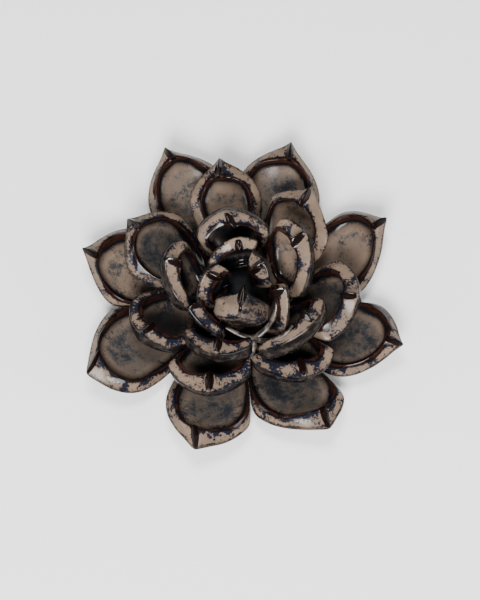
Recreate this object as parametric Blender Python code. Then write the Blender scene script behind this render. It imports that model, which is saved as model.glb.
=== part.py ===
"""Glazed stoneware succulent flower: whorls of thick dished leaves round a turned hub.

The flower lies face up on the flat foot of its hub. Metres, +Z up, with the origin at the middle
of the foot. Sizes in the tables below are in millimetres and angles in degrees.
"""

import math

import bmesh
import bpy
import numpy as np

MM = 0.001

# Clearance between pieces that touch
GAP = 0.3

# Hub
FOOT_RADIUS = 19.0
FOOT_THICKNESS = 0.9
NECK_RADIUS = 12.7
SHOULDER_HEIGHT = 13.6
COLLAR_RADIUS = 10.2
COLLAR_HEIGHT = 19.0
HUB_HEIGHT = 24.0
HUB_SEGMENTS = 48

# Points round one leaf, and how far they crowd towards its tip
LEAF_SEGMENTS = 26
TIP_CROWDING = 0.55

# One leaf, where its whorl or the leaf itself states nothing else. The leaf is a slab with a dish
# pressed into its face and a bevelled band round the dish, drawn out to a pinched tip.
LEAF = {
    "root_radius": 13.0,  # where the measured length starts, from the axis
    "root_height": 6.5,  # height of the dish lip there
    "length": 50.0,
    "width": 31.0,
    "widest": 0.60,  # share of the length at which the leaf is widest
    "root_rise": 0.0,  # slope of the leaf at its root
    "tip_rise": 33.0,  # slope of the leaf at its tip
    "curl": 1.5,  # how late the slope sets in
    "cup": 75.0,  # radius of the trough across the leaf
    "sway": 0.0,  # sideways drift of the tip, clockwise seen from above
    "turn": 0.0,  # twist of the upper leaf about an upright line, anticlockwise from above
    "sector": None,  # angles after and before its azimuth that the leaf keeps within
    "give": 0.8,  # share of its sector that a leaf fills before its edge is squeezed
    "point": 1.6,  # how sharply the sides run in to the tip
    "root_taper": 1.5,
    "band": 2.7,  # width of the band at the sides
    "after_band": 1.0,  # share of that width on the anticlockwise side, seen from above
    "before_band": 1.0,  # share of that width on the clockwise side
    "tip_band": 5.0,  # width of the band at the tip
    "lean": 0.0,  # how far the lip's corner at the tip is pushed clockwise
    "bevel": 4.6,  # fall of the band at the sides
    "tip_bevel": 4.4,  # fall of the band at the tip
    "cusp": 1.8,  # length of the drawn tip
    "pinch": 1.2,  # height of the pinched corner of the lip
    "depth": 3.0,  # depth of the dish under its lip
    "sag": 0.8,  # further fall of the dish floor to its middle
    "thick": 7.2,
    "thin": 0.55,  # share of the thickness that is left at the root
}

# Broad leaves that lie nearly flat
OUTER = {}

# Half open leaves of the second whorl
LOW = {
    "root_height": 12.5,
    "length": 38.0,
    "width": 27.0,
    "root_rise": 2.0,
    "tip_rise": 42.0,
    "cup": 28.0,
    "root_taper": 1.7,
}

# Leaves of the second whorl that curl up until the band faces the sky
SECOND = {
    "root_radius": 14.0,
    "root_height": 12.5,
    "length": 31.0,
    "width": 28.0,
    "root_rise": 2.0,
    "tip_rise": 88.0,
    "curl": 1.9,
    "cup": 16.0,
    "band": 2.4,
    "tip_band": 3.6,
    "bevel": 6.0,
    "tip_bevel": 6.0,
    "cusp": 1.5,
    "pinch": 1.5,
    "depth": 3.4,
    "thick": 8.0,
    "thin": 0.5,
}

# Upright leaves
THIRD = {
    "root_radius": 12.0,
    "root_height": 18.5,
    "length": 23.0,
    "width": 25.0,
    "root_rise": 20.0,
    "tip_rise": 92.0,
    "curl": 0.9,
    "cup": 13.0,
    "point": 1.3,
    "band": 2.2,
    "tip_band": 3.2,
    "bevel": 6.0,
    "tip_bevel": 6.0,
    "cusp": 1.2,
    "pinch": 1.5,
    "depth": 3.2,
    "thick": 7.6,
    "thin": 0.5,
}

# Small leaves that close round the middle
INNER = {
    "root_radius": 6.0,
    "root_height": 24.0,
    "length": 15.0,
    "width": 18.0,
    "root_rise": 50.0,
    "tip_rise": 92.0,
    "curl": 1.0,
    "cup": 10.0,
    "point": 1.2,
    "root_taper": 1.3,
    "band": 1.8,
    "tip_band": 2.6,
    "bevel": 5.0,
    "tip_bevel": 5.0,
    "cusp": 1.0,
    "depth": 2.4,
    "sag": 0.4,
    "thick": 6.2,
    "thin": 0.5,
}

# Each leaf as azimuth, whorl values and its own values, anticlockwise from +X within its whorl
OUTER_LEAVES = [
    (19.5, OUTER, {"length": 48.0, "width": 30.0, "sway": -10.0, "before_band": 0.8}),
    (71.0, OUTER, {"length": 50.0, "sway": -2.0, "point": 1.7, "tip_band": 6.2, "lean": 1.5}),
    (
        115.5,
        OUTER,
        {"length": 52.0, "width": 30.0, "sway": -1.5, "point": 1.7, "tip_band": 4.6, "lean": 0.8},
    ),
    (167.0, OUTER, {"length": 49.0, "sway": 4.0, "point": 1.7, "lean": -2.0}),
    (201.0, OUTER, {"length": 51.0, "width": 33.0, "sway": -8.5, "point": 1.25, "lean": 4.5}),
    (
        255.0,
        OUTER,
        {"length": 48.5, "width": 32.0, "sway": 1.0, "point": 1.3, "tip_band": 6.0, "lean": 3.0},
    ),
    (
        294.0,
        OUTER,
        {"length": 46.5, "width": 33.0, "sway": -8.0, "point": 1.25, "tip_band": 6.0, "lean": -3.0},
    ),
    (338.0, OUTER, {"length": 49.5, "sway": -4.0}),
]
SECOND_LEAVES = [
    (
        49.0,
        SECOND,
        {"root_height": 13.5, "length": 31.3, "width": 24.5, "sway": -5.0, "tip_rise": 72.0}
        | {"cup": 20.0, "point": 1.7, "tip_band": 3.8, "bevel": 5.0, "turn": 3.0, "after_band": 0.5},
    ),
    (
        99.5,
        LOW,
        {"root_height": 13.5, "length": 39.0, "width": 24.0, "tip_rise": 38.0, "lean": -2.0}
        | {"tip_band": 6.4},
    ),
    (151.0, LOW, {"length": 37.5, "tip_rise": 48.0, "turn": -8.0, "tip_band": 4.0}),
    (
        202.0,
        SECOND,
        {"length": 30.0, "width": 25.0, "turn": 28.0, "sway": 2.5, "bevel": 4.5, "tip_bevel": 4.2},
    ),
    (
        249.5,
        SECOND,
        {"length": 30.0, "width": 30.0, "turn": 22.0, "sway": 2.4, "bevel": 4.6, "pinch": 2.4},
    ),
    (
        303.5,
        SECOND,
        {"root_height": 13.0, "length": 28.0, "width": 28.0, "turn": -26.0, "sway": -6.5}
        | {"tip_rise": 92.0, "bevel": 5.0, "tip_bevel": 5.8, "pinch": 2.0},
    ),
    (
        349.0,
        SECOND,
        {"root_height": 12.9, "turn": 1.0, "sway": -3.0, "tip_band": 2.6, "tip_bevel": 4.5},
    ),
]
THIRD_LEAVES = [
    (
        22.0,
        THIRD,
        {"root_radius": 10.5, "length": 22.0, "width": 27.0, "sway": -7.0, "turn": 3.0}
        | {"tip_rise": 80.0, "band": 3.2, "tip_band": 3.4, "bevel": 5.0, "tip_bevel": 5.0}
        | {"after_band": 0.3, "before_band": 1.4, "lean": 0.5},
    ),
    (
        97.0,
        THIRD,
        {"root_radius": 10.5, "length": 21.5, "sway": -3.0, "lean": 2.5, "bevel": 3.0}
        | {"tip_bevel": 3.4, "tip_band": 2.2, "pinch": 2.2},
    ),
    (
        178.0,
        THIRD,
        {"length": 22.5, "width": 21.0, "sway": 5.0, "band": 1.8, "bevel": 4.5, "tip_bevel": 5.0}
        | {"sector": (29.0, 40.0)},
    ),
    (
        253.0,
        THIRD,
        {"root_radius": 14.1, "root_height": 17.5, "length": 23.0, "turn": 10.0, "sway": 1.5}
        | {"root_rise": 5.0, "tip_rise": 100.0, "curl": 0.8, "thick": 7.0, "sector": (26.0, 37.0)}
        | {"bevel": 3.8, "pinch": 2.6},
    ),
    (
        309.5,
        THIRD,
        {"root_radius": 14.6, "length": 25.5, "width": 27.0, "sway": -7.5, "turn": 6.0}
        | {"cup": 18.0, "point": 1.0, "bevel": 3.9, "tip_bevel": 4.6, "lean": -1.0},
    ),
]
INNER_LEAVES = [
    (
        22.0,
        INNER,
        {"root_radius": 3.0, "root_height": 24.5, "width": 13.0, "cup": 9.0, "turn": 4.0}
        | {"root_rise": 72.0, "tip_rise": 112.0, "sector": (46.0, 38.0), "tip_band": 2.8}
        | {"bevel": 5.0, "tip_bevel": 6.0, "thick": 5.6, "point": 1.1},
    ),
    (
        97.0,
        INNER,
        {"root_radius": 6.8, "root_height": 23.5, "width": 24.0, "cup": 10.0, "turn": 2.0}
        | {"root_rise": 60.0, "tip_rise": 98.0, "sector": (62.0, 30.5), "thick": 5.0}
        | {"bevel": 2.9, "tip_bevel": 3.3},
    ),
    (
        184.0,
        INNER,
        {"root_radius": 3.6, "width": 16.0, "cup": 11.0, "turn": -38.0, "lean": 2.0}
        | {"sector": (48.0, 30.0)},
    ),
    (
        227.0,
        INNER,
        {"root_radius": 10.3, "root_height": 22.0, "length": 20.0, "width": 17.0, "sway": 4.0}
        | {"root_rise": 10.0, "tip_rise": 95.0, "curl": 0.6, "cup": 14.0, "turn": -12.0}
        | {"bevel": 5.0, "tip_bevel": 5.2, "thick": 5.6, "sector": (60.0, 12.0)},
    ),
    (
        319.0,
        INNER,
        {"root_radius": 8.4, "root_height": 22.5, "length": 21.0, "width": 17.0, "sway": -5.5}
        | {"root_rise": 0.0, "tip_rise": 100.0, "curl": 0.6, "cup": 30.0, "turn": 48.0}
        | {"bevel": 4.0, "tip_bevel": 4.0, "thick": 4.5, "sector": (27.0, 60.0)},
    ),
]
BUD_LEAF = (
    268.0,
    INNER,
    {"root_radius": 1.0, "root_height": 24.0, "length": 23.0, "width": 16.0, "cup": 13.0}
    | {"root_rise": 15.0, "tip_rise": 112.0, "curl": 0.8, "thick": 9.5, "turn": -6.0}
    | {"tip_band": 1.8, "bevel": 4.0, "tip_bevel": 7.0, "thin": 0.3, "pinch": 3.5},
)

# Name of each whorl, its leaves, whether its leaves share the circle out in sectors, and its glaze
WHORLS = [
    ("outer_leaf", OUTER_LEAVES, True, (0.18, 0.14, 0.11)),
    ("second_leaf", SECOND_LEAVES, True, (0.16, 0.12, 0.09)),
    ("third_leaf", THIRD_LEAVES, True, (0.14, 0.11, 0.08)),
    ("inner_leaf", INNER_LEAVES, False, (0.13, 0.10, 0.07)),
    ("bud_leaf", [BUD_LEAF], False, (0.13, 0.10, 0.07)),
]


def clear_scene():
    for obj in list(bpy.data.objects):
        bpy.data.objects.remove(obj, do_unlink=True)


def ceramic(name, colour, roughness):
    """A fired clay or glaze surface of one colour."""
    material = bpy.data.materials.new(name)
    material.use_nodes = True
    shader = material.node_tree.nodes["Principled BSDF"]
    shader.inputs["Base Color"].default_value = (*colour, 1.0)
    shader.inputs["Roughness"].default_value = roughness
    shader.inputs["Metallic"].default_value = 0.0
    material.diffuse_color = (*colour, 1.0)
    return material


def hub_profile():
    """Outline of the hub from the top of its dome down to the foot, as (radius, height)."""
    return [
        (0.0, HUB_HEIGHT),
        (3.6, HUB_HEIGHT - 0.5),
        (6.6, HUB_HEIGHT - 1.9),
        (9.0, COLLAR_HEIGHT + 1.2),
        (COLLAR_RADIUS, COLLAR_HEIGHT - 0.4),
        (COLLAR_RADIUS, SHOULDER_HEIGHT + 1.3),
        (COLLAR_RADIUS + 0.6, SHOULDER_HEIGHT + 0.6),
        (NECK_RADIUS - 0.6, SHOULDER_HEIGHT),
        (NECK_RADIUS, SHOULDER_HEIGHT - 0.6),
        (NECK_RADIUS, FOOT_THICKNESS + 1.5),
        (NECK_RADIUS + 0.9, FOOT_THICKNESS + 0.5),
        (FOOT_RADIUS - 0.4, FOOT_THICKNESS),
        (FOOT_RADIUS, 0.5 * FOOT_THICKNESS),
        (FOOT_RADIUS - 0.3, 0.0),
        (0.0, 0.0),
    ]


def hub_clearance(points):
    """Distance from each point to the hub's surface, negative inside it."""
    outline = np.array(hub_profile())
    start, along = outline[:-1], np.diff(outline, axis=0)
    spot = np.stack([np.hypot(points[:, 0], points[:, 1]), points[:, 2]], -1)[:, None]
    share = ((spot - start) * along).sum(-1) / (along**2).sum(-1)
    nearest = start + along * np.clip(share, 0, 1)[..., None]
    distance = np.linalg.norm(spot - nearest, axis=-1).min(axis=1)
    below, above = outline[1:, 1], outline[:-1, 1]
    across = (spot[..., 1] > below) & (spot[..., 1] <= above)
    fall = np.where(above == below, 1.0, above - below)
    edge = outline[:-1, 0] + along[:, 0] * (above - spot[..., 1]) / fall
    inside = (across & (edge > spot[..., 0])).any(axis=1)
    return np.where(inside, -distance, distance)


def leaf_rings(leaf, reach):
    """Rings of points round the leaf, from the middle of its back to the middle of its dish.

    x runs across the leaf, y from the root to the tip and n out of the dish. reach is how far the
    root runs on behind y = 0.
    """
    turn = np.arange(LEAF_SEGMENTS) / LEAF_SEGMENTS * 2 * np.pi
    turn = turn - TIP_CROWDING * np.sin(turn)
    off_tip = (turn + np.pi) % (2 * np.pi) - np.pi
    ahead, aside = np.cos(turn), np.sin(turn)
    side, to_tip = np.sign(aside), ahead >= 0
    drawn = np.exp(-((off_tip / 0.30) ** 2))
    corner = np.exp(-((off_tip / 0.20) ** 2))
    half, middle = leaf["width"] / 2, leaf["length"] * leaf["widest"]
    to_end = leaf["length"] - leaf["cusp"] - middle
    edge_y = middle + np.where(to_tip, to_end * ahead + leaf["cusp"] * drawn, (middle + reach) * ahead)
    edge_x = side * half * np.abs(aside) ** np.where(to_tip, leaf["point"], leaf["root_taper"])
    to_end = leaf["length"] - leaf["tip_band"] - middle
    lip_y = middle + np.where(to_tip, to_end, middle - leaf["band"]) * ahead
    band = leaf["band"] * np.where(side > 0, leaf["before_band"], leaf["after_band"])
    lip_x = side * (half - band) * np.abs(aside) ** np.where(to_tip, 1.10, 1.25)
    lip_x = lip_x + leaf["lean"] * np.exp(-((off_tip / 0.6) ** 2))
    fall = leaf["bevel"] + (leaf["tip_bevel"] - leaf["bevel"]) * np.clip(ahead, 0, 1) ** 6
    slant = math.hypot(leaf["tip_bevel"], leaf["tip_band"])
    swell = 0.8 * corner / slant
    raised = leaf["pinch"] * (corner + np.exp(-((off_tip / 0.5) ** 2))) / 2
    wall = 1.4 / max(half - leaf["band"], 1.0)
    thick, depth = leaf["thick"], leaf["depth"]

    def ring(x, y, n):
        grown = np.clip(y / (0.55 * leaf["length"]), 0, 1)
        body = leaf["thin"] + (1 - leaf["thin"]) * grown**2 * (3 - 2 * grown)
        return np.stack(np.broadcast_arrays(x, y, n * body), -1)

    def inwards(x, y, share):
        return x * (1 - share), y + (middle - y) * share

    floor_x, floor_y = inwards(lip_x, lip_y, wall)
    return [
        ring(np.zeros(1), np.full(1, middle), -thick),
        ring(*inwards(edge_x, edge_y, 0.60), -thick),
        ring(*inwards(edge_x, edge_y, 0.24), -0.93 * thick),
        ring(*inwards(edge_x, edge_y, 0.05), -fall - 1.0),
        ring(edge_x, edge_y, -fall),
        ring(
            (edge_x + lip_x) / 2,
            (edge_y + lip_y) / 2 + swell * leaf["tip_bevel"],
            -0.34 * fall + swell * leaf["tip_band"] + raised / 2,
        ),
        ring(lip_x, lip_y, raised),
        ring(floor_x, floor_y, -0.85 * depth + raised / 2),
        ring(*inwards(floor_x, floor_y, 0.5), -depth - 0.75 * leaf["sag"]),
        ring(np.zeros(1), np.full(1, middle), -depth - leaf["sag"]),
    ]


def bend(leaf, points):
    """Carries flat leaf points (x, y, n) on to the rising, curling midline of the leaf.

    The result stands in the leaf's own frame: its radius along +X and the flower's axis at the
    origin. The slope at a share t of the length is root_rise + (tip_rise - root_rise) * t ** curl,
    and across the midline the leaf follows a trough of radius cup.
    """
    share = np.linspace(-0.4, 1.4, 721)
    late = np.clip(share, 0, None) ** leaf["curl"]
    slope = np.radians(leaf["root_rise"] + (leaf["tip_rise"] - leaf["root_rise"]) * late)
    step = leaf["length"] * (share[1] - share[0])
    between = (slope[1:] + slope[:-1]) / 2
    out = np.concatenate([[0], np.cumsum(np.cos(between) * step)])
    up = np.concatenate([[0], np.cumsum(np.sin(between) * step)])
    out += leaf["root_radius"] - np.interp(0, share, out)
    up += leaf["root_height"] - np.interp(0, share, up)
    x, n = points[..., 0], points[..., 2]
    along = points[..., 1] / leaf["length"]
    tilt = np.interp(along, share, slope)
    cup = leaf["cup"]
    across = (cup - n) * np.sin(x / cup) + leaf["sway"] * np.clip(along, 0, None) ** 2
    lift = cup - (cup - n) * np.cos(x / cup)
    radius = np.interp(along, share, out) - lift * np.sin(tilt)
    height = np.interp(along, share, up) + lift * np.cos(tilt)
    pivot = 0.75 * (leaf["root_radius"] + 0.8 * leaf["length"])
    risen = np.clip(2 * along, 0, 1)
    turn = math.radians(leaf["turn"]) * risen**2 * (3 - 2 * risen)
    ahead = pivot + (radius - pivot) * np.cos(turn) + across * np.sin(turn)
    aside = (radius - pivot) * np.sin(turn) - across * np.cos(turn)
    return np.stack([ahead, aside, height], -1)


def squeeze(leaf, points):
    """Rounds a leaf's edges off where they would pass the middle between it and its neighbours."""
    radius = np.hypot(points[..., 0], points[..., 1])
    angle = np.arctan2(points[..., 1], points[..., 0])
    after, before = leaf["sector"]
    limit = np.radians(np.where(angle > 0, after, before)) - 0.2 / np.maximum(radius, 1.0)
    filled, give = np.abs(angle) / limit, leaf["give"]
    eased = give + (1 - give) * np.tanh((filled - give) / (1 - give))
    angle = np.sign(angle) * limit * np.where(filled > give, eased, filled)
    return np.stack([radius * np.cos(angle), radius * np.sin(angle), points[..., 2]], -1)


def leaf_points(leaf, reach):
    shaped = [bend(leaf, ring) for ring in leaf_rings(leaf, reach)]
    return [squeeze(leaf, ring) if leaf["sector"] else ring for ring in shaped]


def seated_reach(leaf):
    """How far the root has to run on for the leaf to stop GAP short of the hub."""
    short, long = -6.0, 12.0
    for _ in range(24):
        reach = (short + long) / 2
        clear = hub_clearance(np.concatenate(leaf_points(leaf, reach))).min()
        short, long = (short, reach) if clear < GAP else (reach, long)
    return short


def sectors(azimuths):
    """Half the angle from each leaf to the next one and to the one before it."""
    order = np.argsort(azimuths)
    found = {}
    for place, index in enumerate(order):
        after = azimuths[order[(place + 1) % len(order)]]
        before = azimuths[order[place - 1]]
        here = azimuths[index]
        found[index] = ((after - here) % 360 / 2, (here - before) % 360 / 2)
    return found


def leaf_mesh(name, leaf):
    """The leaf as one closed body: a fan at each end and a strip of faces between two rings."""
    shape = bmesh.new()
    loops = []
    for ring in leaf_points(leaf, seated_reach(leaf)):
        loops.append([shape.verts.new(point * MM) for point in ring])
    for one, other in zip(loops, loops[1:]):
        for i in range(LEAF_SEGMENTS):
            j = (i + 1) % LEAF_SEGMENTS
            if len(one) == 1:
                shape.faces.new((one[0], other[j], other[i]))
            elif len(other) == 1:
                shape.faces.new((one[i], one[j], other[0]))
            else:
                shape.faces.new((one[i], one[j], other[j], other[i]))
    bmesh.ops.recalc_face_normals(shape, faces=shape.faces)
    mesh = bpy.data.meshes.new(name)
    shape.to_mesh(mesh)
    shape.free()
    mesh.shade_smooth()
    mesh.set_sharp_from_angle(angle=math.radians(50))
    return mesh


def add_object(name, mesh, material, parent):
    obj = bpy.data.objects.new(name, mesh)
    bpy.context.scene.collection.objects.link(obj)
    mesh.materials.append(material)
    obj.parent = parent
    return obj


def add_hub(parent):
    """The turned clay core that carries every leaf, with the foot that the flower lies on."""
    mesh = bpy.data.meshes.new("hub")
    corners = [(radius * MM, 0.0, height * MM) for radius, height in hub_profile()]
    mesh.from_pydata(corners, [(i, i + 1) for i in range(len(corners) - 1)], [])
    hub = add_object("hub", mesh, ceramic("hub_clay", (0.13, 0.085, 0.058), 0.75), parent)
    turned = hub.modifiers.new("turned", "SCREW")
    turned.axis = "Z"
    turned.angle = 2 * math.pi
    turned.steps = HUB_SEGMENTS
    turned.render_steps = HUB_SEGMENTS
    turned.use_merge_vertices = True
    turned.merge_threshold = 0.00001
    turned.use_smooth_shade = True
    return hub


def add_whorl(name, leaves, shared_out, colour, parent):
    """One object for each leaf, turned to its azimuth about the flower's axis."""
    glaze = ceramic(name + "_glaze", colour, 0.18)
    limits = sectors([azimuth for azimuth, _, _ in leaves])
    for index, (azimuth, whorl, own) in enumerate(leaves):
        leaf = LEAF | whorl | own
        leaf["sector"] = leaf["sector"] or (limits[index] if shared_out else None)
        title = name if len(leaves) == 1 else f"{name}_{index + 1}"
        obj = add_object(title, leaf_mesh(title, leaf), glaze, parent)
        obj.rotation_euler.z = math.radians(azimuth)


def main():
    clear_scene()
    flower = bpy.data.objects.new("flower", None)
    bpy.context.scene.collection.objects.link(flower)
    add_hub(flower)
    for name, leaves, shared_out, colour in WHORLS:
        add_whorl(name, leaves, shared_out, colour, flower)


main()
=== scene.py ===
"""Leaves, hub, runs of glaze and studio of the glazed stoneware succulent flower.

Sizes in the leaf tables and in the shape functions are in millimetres and angles in degrees.
"""

import math

import bpy
import numpy as np
from bpy.props import FloatProperty, FloatVectorProperty, PointerProperty
from mathutils import Matrix, Vector


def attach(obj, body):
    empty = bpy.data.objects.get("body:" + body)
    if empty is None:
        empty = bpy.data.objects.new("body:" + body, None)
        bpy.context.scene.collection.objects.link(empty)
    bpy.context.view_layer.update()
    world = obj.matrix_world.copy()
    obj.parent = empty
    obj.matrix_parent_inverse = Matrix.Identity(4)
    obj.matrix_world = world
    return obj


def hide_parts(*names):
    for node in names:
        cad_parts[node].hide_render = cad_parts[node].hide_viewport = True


bl_info = {
    "name": "Glazed Succulent Flower",
    "version": (1, 0, 0),
    "blender": (4, 5, 0),
    "location": "3D Viewport > Sidebar > Succulent Flower",
    "description": "Builds the glazed leaves and the hub of a stoneware succulent flower",
    "category": "Add Mesh",
}

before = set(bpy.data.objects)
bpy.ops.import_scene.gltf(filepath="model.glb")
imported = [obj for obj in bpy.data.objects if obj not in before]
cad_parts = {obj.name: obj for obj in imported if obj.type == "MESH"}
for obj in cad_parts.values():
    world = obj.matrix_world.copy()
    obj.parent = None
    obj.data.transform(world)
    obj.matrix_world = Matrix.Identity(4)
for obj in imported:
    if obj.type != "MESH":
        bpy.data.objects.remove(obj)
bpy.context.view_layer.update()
MM = 0.001

# Hub outline from the top of its dome down to the foot, as radius and height
HUB_PROFILE = [(0.0, 24.0), (3.6, 23.5), (6.6, 22.1), (9.0, 20.2), (10.2, 18.6), (10.2, 14.9)]
HUB_PROFILE += [(10.8, 14.2), (12.1, 13.6), (12.7, 13.0), (12.7, 2.4), (13.6, 1.4), (18.6, 0.9)]
HUB_PROFILE += [(19.0, 0.45), (18.7, 0.0), (0.0, 0.0)]
# Gap between a leaf's root and the hub
HUB_CLEARANCE = 0.3

# Control points of the hub's rounded line, counted along its outline, and its rows and segments
HUB_LINE = [0, 0, 0, 0.6, 1, 1.5, 2, 2.5, 3, 3.6, 4, 4.2, 4.7, 5, 5.3, 5.8, 6.2, 6.8, 7.2]
HUB_LINE += [7.8, 8.1, 8.5, 8.8, 9, 9.3, 9.7, 10, 10.15, 10.85, 10.97, 11.3, 11.6, 12]
HUB_LINE += [12.3, 12.6, 12.95, 13, 13.02, 13.2, 13.6, 14, 14, 14]
HUB_ROWS = 120
HUB_SEGMENTS = 160

# Points round one leaf, rows from its back to its dish, and how far the points crowd to the tip
LEAF_SEGMENTS = 200
LEAF_ROWS = 74
TIP_CROWDING = 0.55

# Ten rings round a leaf carry its section, from the middle of its back (0) to the middle of its
# dish (9). Rings 4 and 6 are its outer edge and its lip, and its band lies between them.
OUTER_EDGE, LIP = 4, 6

# Control rows of the section, where a whole number is a ring and a fraction lies between two
SECTION = [0, 0, 0, 0.5, 1, 1.5, 2, 2.5, 3, 3.55, 4, 4.4, 4.8, 5.2, 5.55, 5.85, 6.1, 6.4, 6.8]
SECTION += [7.1, 7.4, 7.8, 8.2, 8.6, 9, 9, 9]

# Angles from the tip, in radians, over which it is drawn out, cornered, pinched up and leant over
DRAWN_OUT, CORNERED, PINCHED, LEANT = 0.30, 0.20, 0.5, 0.6
# Powers that draw the lip in towards the tip and the root, and that keep the tip's bevel near it
LIP_TO_TIP, LIP_TO_ROOT, BEVEL_TO_TIP = 1.10, 1.25, 6
# Swell of the band at the tip, and how far the dish's wall runs in from the lip
TIP_SWELL, WALL_RUN = 0.8, 1.4
# Gap that a leaf keeps to the middle between it and its neighbour
SECTOR_MARGIN = 0.02
# Points round a CAD leaf, and the least and the most that its root can run on towards the hub
CAD_SEGMENTS, LEAST_REACH, MOST_REACH = 26, -6.0, 12.0
# Share of the length at which the body is as thick as it gets
FULL_BODY = 0.55
# Shares of the length at which the midline is worked out, from behind the root to past the tip
MIDLINE = np.linspace(-0.4, 1.4, 721)
# Lengths of the waves in the outer edge and the lip, and how much more the lip wobbles
EDGE_WAVE, LIP_WAVE, LIP_WOBBLE = 1.6, 1.1, 1.6
# Ripples in a leaf's surface: what each adds to the seed, its length and its height
GRAIN = ((100, 9.0, 0.30), (150, 3.6, 0.10))
# Half the width of the tip seam at its ends, and what its belly adds, as shares of its setting
SEAM_END, SEAM_BELLY = 0.15, 0.42

# One leaf, where its whorl or the leaf itself states nothing else
LEAF = {
    # where the midline starts, and how steeply it rises at the root and at the tip
    "root_radius": 13.0,
    "root_height": 6.5,
    "root_rise": 0.0,
    "tip_rise": 33.0,
    "curl": 1.5,
    # the outline, with the place where it is widest as a share of the length
    "length": 50.0,
    "width": 31.0,
    "widest": 0.60,
    "point": 1.6,
    "root_taper": 1.5,
    "cusp": 1.8,
    # radius of the trough across the leaf, how far its tip lies aside, and its twist
    "cup": 75.0,
    "sway": 0.0,
    "turn": 0.0,
    # angles that it may fill after and before its azimuth, and the share that it fills unsqueezed
    "sector": None,
    "give": 0.8,
    # width of the band round the dish, its shares after and before the azimuth, and its fall
    "band": 2.7,
    "after_band": 1.0,
    "before_band": 1.0,
    "tip_band": 5.0,
    "bevel": 4.6,
    "tip_bevel": 4.4,
    # how far the lip leans aside and is pinched up at the tip
    "lean": 0.0,
    "pinch": 1.2,
    # the dish and its sag, and the body with its share of thickness at the root
    "depth": 3.0,
    "sag": 0.8,
    "thick": 7.2,
    "thin": 0.55,
    # row of the section where the pale glaze gives way to the dark glaze of the back
    "glaze_row": 4.25,
    # how many widths of the band the dark seam runs down from the lip
    "keel": 1.0,
    # how dark the glaze is on the back and the band after the azimuth
    "dark_side": 0.0,
}
LOW = dict(
    root_height=12.5, root_rise=2.0, tip_rise=42.0, length=38.0, width=27.0, root_taper=1.7,
    cup=28.0,
)
SECOND = dict(
    root_radius=14.0, root_height=12.5, root_rise=2.0, tip_rise=88.0, curl=1.9, length=31.0,
    width=28.0, cusp=1.5, cup=16.0, band=2.4, tip_band=3.6, bevel=6.0, tip_bevel=6.0, pinch=1.5,
    depth=3.4, thick=8.0, thin=0.5, glaze_row=3.6,
)
THIRD = dict(
    root_radius=12.0, root_height=18.5, root_rise=20.0, tip_rise=92.0, curl=0.9, length=23.0,
    width=25.0, point=1.3, cusp=1.2, cup=13.0, band=2.2, tip_band=3.2, bevel=6.0, tip_bevel=6.0,
    pinch=1.5, depth=3.2, thick=7.6, thin=0.5, glaze_row=3.6,
)
INNER = dict(
    root_radius=6.0, root_height=24.0, root_rise=50.0, tip_rise=92.0, curl=1.0, length=15.0,
    width=18.0, point=1.2, root_taper=1.3, cusp=1.0, cup=10.0, band=1.8, tip_band=2.6, bevel=5.0,
    tip_bevel=5.0, depth=2.4, sag=0.4, thick=6.2, thin=0.5, glaze_row=3.6,
)


def leaf_at(azimuth, whorl, **own):
    """One leaf, whose own values go before its whorl's, and those before LEAF's."""
    return LEAF | whorl | own | {"azimuth": azimuth}


# Leaves of each whorl, anticlockwise from +X
OUTER_LEAVES = [
    leaf_at(19.5, LEAF, length=48.0, width=30.0, sway=-10.0, before_band=0.8),
    leaf_at(71.0, LEAF, sway=-2.0, point=1.7, tip_band=6.2, lean=1.5),
    leaf_at(115.5, LEAF, length=52.0, width=30.0, sway=-1.5, point=1.7, tip_band=4.6, lean=0.8),
    leaf_at(167.0, LEAF, length=49.0, sway=4.0, point=1.7, lean=-2.0),
    leaf_at(201.0, LEAF, length=51.0, width=33.0, sway=-8.5, point=1.25, lean=4.5),
    leaf_at(255.0, LEAF, length=48.5, width=32.0, sway=1.0, point=1.3, tip_band=6.0, lean=3.0),
    leaf_at(294.0, LEAF, length=46.5, width=33.0, sway=-8.0, point=1.25, tip_band=6.0, lean=-3.0),
    leaf_at(338.0, LEAF, length=49.5, sway=-4.0),
]
SECOND_LEAVES = [
    leaf_at(
        49.0, SECOND, root_height=13.5, length=31.3, width=24.5, tip_rise=72.0, cup=20.0,
        sway=-5.0, turn=3.0, point=1.7, after_band=0.5, tip_band=3.8, bevel=5.0,
    ),
    leaf_at(
        99.5, LOW, root_height=13.5, length=39.0, width=24.0, tip_rise=38.0, tip_band=6.4, lean=-2.0
    ),
    leaf_at(151.0, LOW, length=37.5, tip_rise=48.0, turn=-8.0, tip_band=4.0),
    leaf_at(
        202.0, SECOND, length=30.0, width=25.0, sway=2.5, turn=28.0, bevel=4.5, tip_bevel=4.2
    ),
    leaf_at(249.5, SECOND, length=30.0, width=30.0, sway=2.4, turn=22.0, bevel=4.6, pinch=2.4),
    leaf_at(
        303.5, SECOND, root_height=13.0, length=28.0, width=28.0, tip_rise=92.0, sway=-6.5,
        turn=-26.0, bevel=5.0, tip_bevel=5.8, pinch=2.0,
    ),
    leaf_at(349.0, SECOND, root_height=12.9, sway=-3.0, turn=1.0, tip_band=2.6, tip_bevel=4.5),
]
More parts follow.
